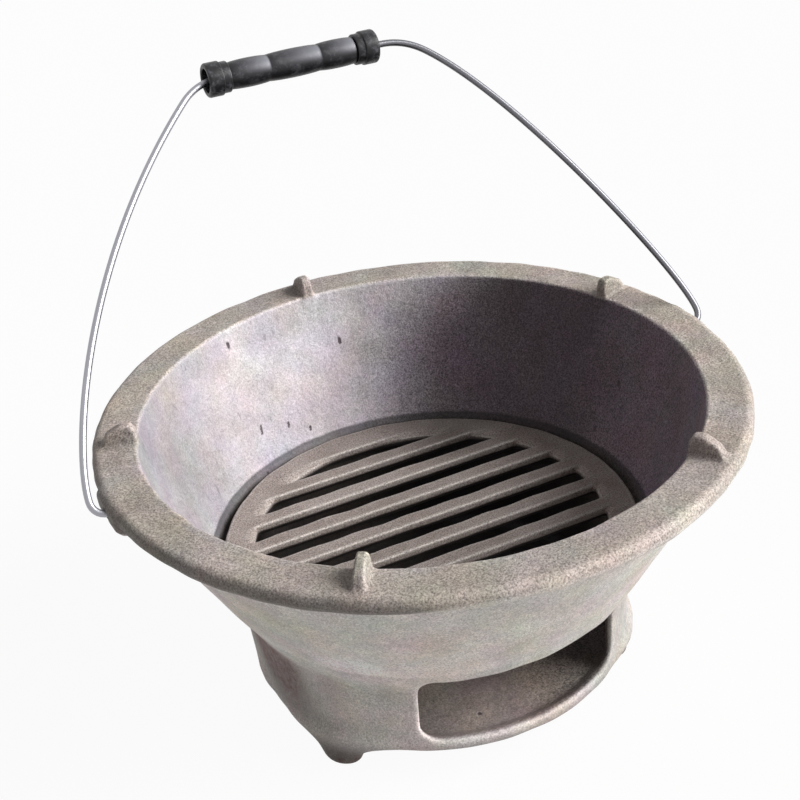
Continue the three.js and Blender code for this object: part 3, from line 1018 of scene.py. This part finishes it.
    def _zones(self, skin: Skin) -> dict[Zone, Array]:
        """Return which faces of the skin belong to each zone, by the place of their middles."""
        middle = skin.places[skin.faces].mean(1)
        upward = skin.normals[skin.faces].mean(1)[:, 2]
        z = middle[:, 2]
        within = self._inward(middle) > 0
        above = z > self.rim_top - self.ledge_depth + self.seat_seam
        top = (z > self.rim_top - self.crest_seam) & (upward > self.crest_slope)
        inside = within & above & ~top & (z < self.rim_top - self.edge_seam)
        chamber = within & ~above
        rim = (z > self.rim_top - self.rim_root_depth - self.root_seam) & ~inside
        outside = ~inside & ~rim & ~chamber & (z > self.rim_top - self.bowl_foot_depth + self.drum_seam)
        return {
            Zone.RIM: rim,
            Zone.BOWL_INSIDE: inside,
            Zone.BOWL_OUTSIDE: outside,
            Zone.CHAMBER: chamber,
            Zone.DRUM: ~(inside | rim | chamber | outside),
        }

    def _marks(self, skin: Skin) -> dict[str, Array]:
        """Return what the finish reads at each vertex: how far it lies in each tone of the skin.

        The tone is painted shade and painted light: the product of what each painted shade leaves.
        Where a tone ends it fades by a smooth step, over a depth under the rim, an azimuth or how
        squarely the skin faces one.
        """
        x, y, z = skin.places.T
        azimuth = np.degrees(np.arctan2(y, x))
        inward = self._inward(skin.places)
        depth = z - self.rim_top
        over_seat = depth + self.ledge_depth
        bowl = smooth_step(-0.8, 0.8, inward) * smooth_step(0.2, -1.2, depth)
        chamber = bowl * smooth_step(7, 1, over_seat)
        # Painted light: on the side that faces the light the flank's paler tone runs up over the
        # side of the rim
        rise = 7 * facing(azimuth, -75, 0.62, 0.85)
        outside = smooth_step(0.8, -0.8, inward) * smooth_step(2, -2, depth + self.rim_root_depth - rise)
        # Painted shade on the bowl's side away from the light, wider low down
        bowl_shade_turn = np.abs(turned(azimuth, -2))
        bowl_painted_shade = bowl * smooth_step(92, 58, bowl_shade_turn + 0.5 * np.maximum(depth + 37, 0))
        # One rusty spot is high on the drum's left, and rust runs along the feet
        spot = np.hypot(turned(azimuth, -172) * 1.75 + 0.5 * (z - 55), (z - 55) * 0.8)
        rust = outside * np.maximum(smooth_step(33, 13, spot), smooth_step(self.foot_height + 9, 2, z))
        rim_side = (1 - bowl) * smooth_step(-2.5, -6.5, depth)
        brow = (1 - bowl) * smooth_step(-0.3, -2, depth) * smooth_step(-15, -11, depth)
        drum = outside * smooth_step(70, 56, z)
        painted_shades = self.painted_shades
        # Painted shade at each place of the body, and painted light where a share is negative
        painted_shading = (
            painted_shades.rim_side * rim_side * (1 - outside),
            painted_shades.drum * drum,
            (painted_shades.lit_flank + painted_shades.lit_drum * drum) * outside * facing(azimuth, -40, 0.1, 0.8),
            painted_shades.bowl_left * bowl * (1 - bowl_painted_shade) * smooth_step(106, 146, np.abs(azimuth)),
            -painted_shades.bowl_shade_painted_light * bowl_painted_shade * smooth_step(24, 0, azimuth) * smooth_step(-100, -60, azimuth),
            painted_shades.foot * outside * smooth_step(self.foot_height + 7, 10, z),
            painted_shades.brow * brow * facing(azimuth, -160, 0.6, 0.9),
            # Painted shade in the bowl just over the grate, and in the chamber at the back and the right,
            # with painted light on the chamber's left
            painted_shades.grate_crevice_shade * (bowl - chamber) * smooth_step(8.3, 7.3, over_seat),
            painted_shades.chamber_back * chamber * smooth_step(-30, 10, y),
            chamber * (painted_shades.chamber_right * smooth_step(-25, 40, x) - painted_shades.chamber_painted_light),
        )
        scar = np.zeros(len(z))
        for turn, middle, half in self.scars:
            across = np.radians(azimuth - turn) * self.rim_inner
            past = np.maximum(np.abs(z - middle) - half, 0)
            scar = np.maximum(scar, smooth_step(self.scar_width, 0.0, np.hypot(across + 0.3 * (z - middle), past)))
        return {
            "scar": scar * bowl,
            "bowl": bowl,
            "chamber": chamber,
            "outside": outside,
            "bowl_painted_shade": bowl_painted_shade,
            "rust": rust,
            "tone": np.prod([1 - loss for loss in painted_shading], axis=0),
            "bend": skin.bend,
        }

    def build(self, finish: Material) -> None:
        """Mesh the casting and dress it, with one object for each zone of the skin.

        Args:
            finish: the iron's material.
        """
        step = self.grain * 1.0
        reach, tall = self.ear_face + self.margin, self.rim_top + self.lug_height + self.margin
        skin = Skin.of(self.distance, (-reach, -reach, -self.margin), (reach, reach, tall), (step,) * 3)
        skin.places[:, 2] = np.maximum(skin.places[:, 2], 0)
        for zone, chosen in self._zones(skin).items():
            part = skin.part(chosen)
            piece = new_mesh(zone.value, part.places, part.faces, finish, part.normals, self._marks(part))
            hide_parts(self.node)
            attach(piece, "stove")


# The grate


@dataclass
class FireGrate:
    """The loose grate: a disc with long slots, whose bars taper under upright sides. Millimetres."""

    node: str = "grate"
    radius: float = 107.0
    bottom: float = 77.5
    thickness: float = 6.5
    edge_round: float = 1.2
    ring: float = 15.5
    slot_pitch: float = 21.0
    slot_width: float = 11.8
    slot_flare: float = 3.5
    slot_flare_depth: float = 2.1
    slot_blend: float = 1.0
    slots_each_side: int = 4
    bar_side: float = 3.2
    bar_taper: float = 1.3
    end_round: float = 1.5
    # Depths under the top over which painted shade darkens the slots
    deep: tuple[float, float] = (3.0, 4.4)
    # Where the painted shadow of the bowl's wall lies on the grate: radii, azimuth and spread
    shadow_radii: tuple[float, float] = (50.0, 90.0)
    shadow_azimuth: float = 58.0
    shadow_spread: float = 26.0
    margin: float = 4.0
    height_margin: float = 3.0
    grain_along: float = 1.3
    grain: float = 0.8
    quick_grain: float = 1.5
    waviness: Waviness = field(default_factory=lambda: Waviness(0.16, 12.0, 40.0, seed=SEED + 1))

    def distance(self, places: Array) -> Array:
        """Return the grate's distance field: a rounded disc less the slots.

        A slot is a strip along X with its ends on a circle. Under the bars' upright sides the strip
        widens, and near the top the circle grows, which slopes the slot's ends.
        """
        y, z = places[:, 1], places[:, 2] - self.bottom
        radius = np.hypot(places[:, 0], y)
        slab = np.abs(z - self.thickness / 2) - self.thickness / 2
        solid = rounded_overlap(radius - self.radius, slab, self.edge_round)
        number = np.clip(np.round(y / self.slot_pitch), -self.slots_each_side, self.slots_each_side)
        draw = self.bar_taper * np.clip(1 - z / (self.thickness - self.bar_side), 0, 1)
        sideways = np.abs(y - number * self.slot_pitch) - self.slot_width / 2 - draw
        outwards = radius - self.radius + self.ring
        lift = z - self.thickness + self.slot_flare_depth
        sloped = outwards * self.slot_flare_depth - lift * self.slot_flare
        sloped /= math.hypot(self.slot_flare, self.slot_flare_depth)
        slot = rounded_overlap(np.minimum(outwards, sloped), sideways, self.end_round)
        return smooth_cut(solid, slot, self.slot_blend) - self.waviness(places)

    def build(self, finish: Material) -> None:
        """Mesh the grate in two halves and dress them.

        Args:
            finish: the grate iron's material.
        """
        scale = 1.0
        reach, top = self.radius + self.margin, self.bottom + self.thickness
        step = (self.grain_along * scale, self.grain * scale, self.grain * scale)
        low = (-reach, -reach, self.bottom - self.height_margin)
        skin = Skin.of(self.distance, low, (reach, reach, top + self.height_margin), step)
        middle = skin.places[skin.faces].mean(1)
        for name, chosen in (("grate_left", middle[:, 0] < 0), ("grate_right", middle[:, 0] >= 0)):
            part = skin.part(chosen)
            x, y, z = part.places.T
            turn = (np.degrees(np.arctan2(y, x)) - self.shadow_azimuth) / self.shadow_spread
            marks = {
                "bend": part.bend,
                # Painted shade deep in the slots
                "deep": smooth_step(*self.deep, top - z),
                # The painted shadow of the bowl's wall
                "painted_shadow": smooth_step(*self.shadow_radii, np.hypot(x, y)) * np.exp(-(turn**2)),
            }
            piece = new_mesh(name, part.places, part.faces, finish, part.normals, marks)
            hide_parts(self.node)
            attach(piece, "grate")


# The bail


@dataclass
class BailWire:
    """The bent wire, drawn upright in its own plane and then leaned back. Millimetres."""

    node: str = "bail_wire"
    pivot_height: float = 151.5
    lean: float = 41.0
    wire_radius: float = 1.75
    end_share: float = 0.7
    ear_face: float = 163.0
    hook_gap: float = 3.6
    hook_radius: float = 7.0
    hook_reach: float = 11.0
    height: float = 193.5
    hook_rise: float = 22.0
    shoulder_slope: float = 42.0
    shoulder_bend: float = 13.0
    left_corner: float = 50.0
    left_reach: float = 106.0
    right_corner: float = 66.0
    right_reach: float = 55.0
    grip_shift: float = 2.0
    grip_tilt: float = 1.1
    sides: int = 24
    spacing: float = 1.6

    def _side(self, corner: float, reach: float, middle: float, tilt: float) -> Array:
        """Return one side from the ear up to the grip: a hook's arc, a leg's and a shoulder's curve.

        The arc is a quarter circle, the leg a cubic Bezier curve and the shoulder a quadratic one.

        Args:
            corner: where the lines of the grip and the shoulder meet, from the middle.
            reach: how far the leg runs on straight below its shoulder.
            middle: the grip's middle, as seen from this side.
            tilt: the grip's tilt, as seen from this side.

        Returns:
            Places across and up in the bail's plane, in rows.
        """
        leg_place = self.ear_face + self.hook_gap + self.wire_radius
        slope = math.radians(self.shoulder_slope)
        down = np.array([math.cos(slope), -math.sin(slope)])
        turn, straight = (
            np.array([across, self.height - (across - middle) * math.tan(tilt)])
            for across in (corner, corner - self.shoulder_bend)
        )
        shoulder = turn + self.shoulder_bend * down
        angle = np.linspace(-math.pi / 2, 0, 40)
        hook = self.hook_radius * np.stack([np.cos(angle) - 1, np.sin(angle) + 1], -1) + (leg_place, 0)
        pulls = (hook[-1], hook[-1] + (0, self.hook_rise), shoulder + reach * down, shoulder)
        t = np.linspace(0, 1, 240)[1:, None]
        leg = sum(math.comb(3, i) * (1 - t) ** (3 - i) * t**i * pull for i, pull in enumerate(pulls))
        t = np.linspace(0, 1, 40)[1:, None]
        bend = (1 - t) ** 2 * shoulder + 2 * (1 - t) * t * turn + t**2 * straight
        return np.concatenate([[(self.ear_face - self.hook_reach, 0)], hook, leg, bend])

    def path(self) -> Array:
        """Return evenly spaced places along the wire's middle line, across and up in its plane."""
        tilt = math.radians(self.grip_tilt)
        right = self._side(self.right_corner, self.right_reach, self.grip_shift, tilt)
        left = self._side(self.left_corner, self.left_reach, -self.grip_shift, -tilt) * (-1, 1)
        whole = np.concatenate([left, right[::-1]])
        run = np.concatenate([[0], np.cumsum(np.linalg.norm(np.diff(whole, axis=0), axis=1))])
        even = np.linspace(0, run[-1], int(run[-1] / self.spacing) + 1)
        return np.stack([np.interp(even, run, whole[:, i]) for i in (0, 1)], -1)

    def placed(self, across: Array, up: Array, proud: Array) -> Array:
        """Turn places in the bail's plane into the frame's: across, up the lean, and square to it."""
        lean = math.radians(self.lean)
        y = up * math.sin(lean) - proud * math.cos(lean)
        z = self.pivot_height + up * math.cos(lean) + proud * math.sin(lean)
        return np.stack(np.broadcast_arrays(across, y, z), -1)

    def build(self, finish: Material) -> None:
        """Carry the wire's circle along its path, with chamfered and closed ends.

        Args:
            finish: the steel's material.
        """
        path = self.path()
        ahead = np.gradient(path, axis=0)
        ahead /= np.linalg.norm(ahead, axis=1, keepdims=True)
        side = np.stack([-ahead[:, 1], ahead[:, 0]], -1)
        size = np.full(len(path), self.wire_radius)
        size[[0, -1]] *= self.end_share
        angle = np.linspace(0, 2 * np.pi, self.sides, endpoint=False)
        flat = path[:, None] + (size[:, None] * np.cos(angle))[..., None] * side[:, None]
        proud = size[:, None] * np.sin(angle)
        places = self.placed(flat[..., 0], flat[..., 1], proud).reshape(-1, 3)
        poles = self.placed(path[[0, -1], 0], path[[0, -1], 1], np.zeros(2))
        run, around = np.meshgrid(np.arange(len(path)) * self.spacing, angle * self.wire_radius, indexing="ij")
        marks = {
            "along": np.append(run.ravel(), (0, run[-1, 0])),
            "around": np.append(around.ravel(), (0, 0)),
        }
        first = np.arange(self.sides)
        last = first + len(places) - self.sides
        caps = [
            np.stack([ring, np.roll(ring, turn), *[np.full(self.sides, len(places) + pole)] * 2], -1)
            for pole, (ring, turn) in enumerate(((first, -1), (last, 1)))
        ]
        faces = np.concatenate([ring_faces(len(path), self.sides)[:, ::-1], *caps])
        wire = new_mesh("steel_bail", np.concatenate([places, poles]), faces, finish, marks=marks)
        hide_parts(self.node)
        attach(wire, "bail")


@dataclass
class BailGrip:
    """The moulded sleeve and its two collars, turned about the grip's own axis. Millimetres."""

    wire: BailWire
    length: float = 94.0
    bore: float = 2.7
    radius: float = 7.4
    waist: float = 6.7
    swell_ends: tuple[float, ...] = (-34.5, -13.5, 14.5, 34.5)
    swell_power: float = 0.6
    # The painted highlight: the direction half way between the light and the camera, how strong it is, and how it
    # gathers towards each swell's right end
    highlight_side: tuple[float, float, float] = (0.34, -0.58, 0.74)
    highlight_share: float = 0.9
    highlight_power: float = 1.6
    spigot_radius: float = 5.8
    spigot_length: float = 5.5
    collar_length: float = 12.5
    collar_radius: float = 8.8
    collar_band: float = 8.0
    collar_neck: float = 8.0
    seat_gap: float = 0.3
    edge_round: float = 0.6
    sharp_edge: float = 50.0
    sides: int = 96

    def _turned(self, name: str, profile: Array, finish: Material) -> bpy.types.Object:
        """Turn a closed profile about the grip's axis.

        A painted highlight lightens what faces half way between the light and the camera, at the right
        end of each swell.

        Args:
            name: the object's name.
            profile: places along the axis and out from it, in rows, anticlockwise.
            finish: the plastic's material.

        Returns:
            The new object.
        """
        angle = np.linspace(0, 2 * np.pi, self.sides, endpoint=False)
        along, out = profile[:, :1], profile[:, 1:]
        tilt = math.radians(self.wire.grip_tilt)
        rise = out * np.cos(angle)
        across = self.wire.grip_shift + along * math.cos(tilt) + rise * math.sin(tilt)
        up = self.wire.height - along * math.sin(tilt) + rise * math.cos(tilt)
        rings = self.wire.placed(across, up, out * np.sin(angle))
        # How squarely each place faces half way between the light and the camera, for the painted highlight
        facing_highlight = (rings - rings.mean(1, keepdims=True)) @ np.array(self.highlight_side) / out
        swell = self._swell(along)
        on_swell = (swell > 0) & (swell < len(self.swell_ends) - 1)
        painted_highlight = self.highlight_share * smooth_step(0.55, 1.0, facing_highlight) * (swell % 1) ** self.highlight_power * on_swell
        collar = float(np.abs(along).min() > self.length / 4)
        marks = {"painted_highlight": (painted_highlight * (1 - collar)).ravel(), "proud": np.full(painted_highlight.size, collar)}
        faces = ring_faces(len(profile), self.sides, closed=True)
        piece = new_mesh(name, rings.reshape(-1, 3), faces, finish, marks=marks)
        piece.data.set_sharp_from_angle(angle=math.radians(self.sharp_edge))
        return piece

    def _swell(self, along: Array) -> Array:
        """Return how many swells lie left of places along the grip, in parts of a swell."""
        return np.interp(along, self.swell_ends, range(len(self.swell_ends)))

    def _sleeve(self) -> Array:
        """Return the sleeve's profile: three swells between two spigots, with a bore."""
        shoulder = self.length / 2 - self.collar_length
        half = shoulder + self.spigot_length
        along = np.linspace(-shoulder, shoulder, 97)
        swell = np.abs(np.sin(np.pi * self._swell(along))) ** self.swell_power
        back = np.stack([along, self.waist + (self.radius - self.waist) * swell], -1)
        ends = [(-half, self.bore), (-half, self.spigot_radius), (-shoulder, self.spigot_radius)]
        return np.concatenate([ends, back, [(-x, out) for x, out in reversed(ends)]])

    def _collar(self, side: int) -> Array:
        """Return a collar's profile: a thicker band outside and a neck towards the sleeve."""
        bore = self.spigot_radius + self.seat_gap
        outer = self.length / 2
        inner = outer - self.collar_length + self.seat_gap
        band = outer - self.collar_band
        ring = filleted(
            [
                (inner, bore, 0.2),
                (inner, self.collar_neck, self.edge_round),
                (band, self.collar_neck, 0.2),
                (band, self.collar_radius, self.edge_round),
                (outer, self.collar_radius, 1.4),
                (outer, bore, 0.8),
            ]
        )
        return ring if side > 0 else (ring * (-1, 1))[::-1]

    def build(self, finish: Material) -> None:
        """Turn the sleeve and the collars and dress them.

        Args:
            finish: the plastic's material.
        """
        for name, node, slot, profile in (
            ("grip_sleeve", "grip", "grip_plastic", self._sleeve()),
            ("collar_right", "grip_collar_right", "collar_plastic", self._collar(1)),
            ("collar_left", "grip_collar_left", "collar_plastic", self._collar(-1)),
        ):
            piece = self._turned(name, profile, finish)
            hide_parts(node)
            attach(piece, "grip")


# The studio


@dataclass(frozen=True)
class Studio:
    """A white floor, one low broad light from the right and the camera at the photograph's angle."""

    azimuth: float = -23.33
    elevation: float = 29.92
    roll: float = -5.54
    distance: float = 811.5
    aim: tuple[float, float, float] = (2.57, 30.0, 143.2)
    lens: float = 70.95
    sensor: float = 36.0
    nearest: float = 10.0
    farthest: float = 40000.0
    floor_half: float = 6000.0
    floor_colour: str = "#cccccc"
    floor_glow: float = 0.95
    key_azimuth: float = -8.0
    key_elevation: float = 31.0
    key_strength: float = 4.9
    key_spread: float = 42.0
    sky_right: str = "#d8d8dc"
    sky_left: str = "#8a8a92"
    sky_strength: float = 0.22

    def camera(self) -> None:
        """Place the camera by a back vector from azimuth and elevation, and a roll about it."""
        azimuth, elevation, roll = (math.radians(v) for v in (self.azimuth, self.elevation, self.roll))
        level = np.array([math.cos(azimuth), math.sin(azimuth), 0.0])
        behind = np.array([math.sin(azimuth), -math.cos(azimuth), 0.0])
        back = math.cos(elevation) * behind + (0, 0, math.sin(elevation))
        right = math.cos(roll) * level + math.sin(roll) * np.cross(back, level)
        data = bpy.data.cameras.new("camera")
        data.lens = self.lens
        data.sensor_width = self.sensor
        data.clip_start = self.nearest * MM
        data.clip_end = self.farthest * MM
        made = bpy.data.objects.new("camera", data)
        matrix = Matrix(np.stack([right, np.cross(back, right), back], -1).tolist()).to_4x4()
        matrix.translation = ((np.array(self.aim) + self.distance * back) * MM).tolist()
        made.matrix_world = matrix
        bpy.context.collection.objects.link(made)
        bpy.context.scene.camera = made

    def light(self) -> None:
        """Light the scene: a broad sun from the camera's right, and a sky that is paler on that side."""
        turn = math.radians(self.azimuth + self.key_azimuth)
        tip = math.radians(90 - self.key_elevation)
        data = bpy.data.lights.new("key", "SUN")
        data.energy = self.key_strength
        data.angle = math.radians(self.key_spread)
        key = bpy.data.objects.new("key", data)
        key.matrix_world = Matrix.Rotation(turn, 4, "Z") @ Matrix.Rotation(tip, 4, "Y")
        bpy.context.collection.objects.link(key)
        world = bpy.data.worlds.new("studio")
        bpy.context.scene.world = world
        add = nodes_of(world)
        place = add("TexCoord", out="Generated")
        place = add("VectorRotate", {"Vector": place, "Angle": -math.radians(self.azimuth)}, rotation_type="Z_AXIS")
        share = add("MapRange", (add("SeparateXYZ", (place,)), -1.0, 1.0))
        sky = add("Mix", {0: share, MIX_A: linear(self.sky_left), MIX_B: linear(self.sky_right)}, **COLOUR_MIX)
        soft = add("Background", {"Color": sky, "Strength": self.sky_strength})
        white = add("Background", {"Color": WHITE, "Strength": 1.0})
        add("OutputWorld", {"Surface": add("MixShader", (self._looked_at(add), soft, white))})

    def _looked_at(self, add: Adder) -> NodeSocket:
        """Return 1 for the camera's own rays and for those of reflections and glass, and 0 for light."""
        seen = add("LightPath", out="Is Camera Ray")
        for ray in ("Is Glossy Ray", "Is Transmission Ray"):
            seen = add("Math", (seen, add("LightPath", out=ray)), operation="MAXIMUM")
        return seen

    def floor(self) -> None:
        """Lay the floor: a wide white sheet in the feet's plane, whose shadows are seen pale."""
        half = self.floor_half
        corners = np.array([(-half, -half, 0), (half, -half, 0), (half, half, 0), (-half, half, 0)], float)
        material = bpy.data.materials.new("white_floor")
        add = nodes_of(material)
        paper = add("BsdfDiffuse", {"Color": linear(self.floor_colour)})
        white = add("Emission", {"Color": WHITE, "Strength": 1.0})
        share = add("Math", (self._looked_at(add), self.floor_glow), operation="MULTIPLY")
        add("OutputMaterial", {"Surface": add("MixShader", (share, paper, white))})
        made = new_mesh("floor", corners, np.array([[0, 1, 2, 3]]), material)


def main() -> None:
    """Build the stove round its frame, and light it."""
    logging.basicConfig(level=logging.INFO, format="%(name)s: %(message)s")
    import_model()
    bpy.context.scene.view_settings.view_transform = "Standard"
    studio = Studio()
    studio.camera()
    studio.light()
    studio.floor()
    StoveBody().build(SandCastIron().build())
    FireGrate().build(GrateIron().build())
    wire = BailWire()
    wire.build(DrawnSteel().build())
    BailGrip(wire).build(MouldedPlastic().build())


if __name__ == "__main__":
    main()
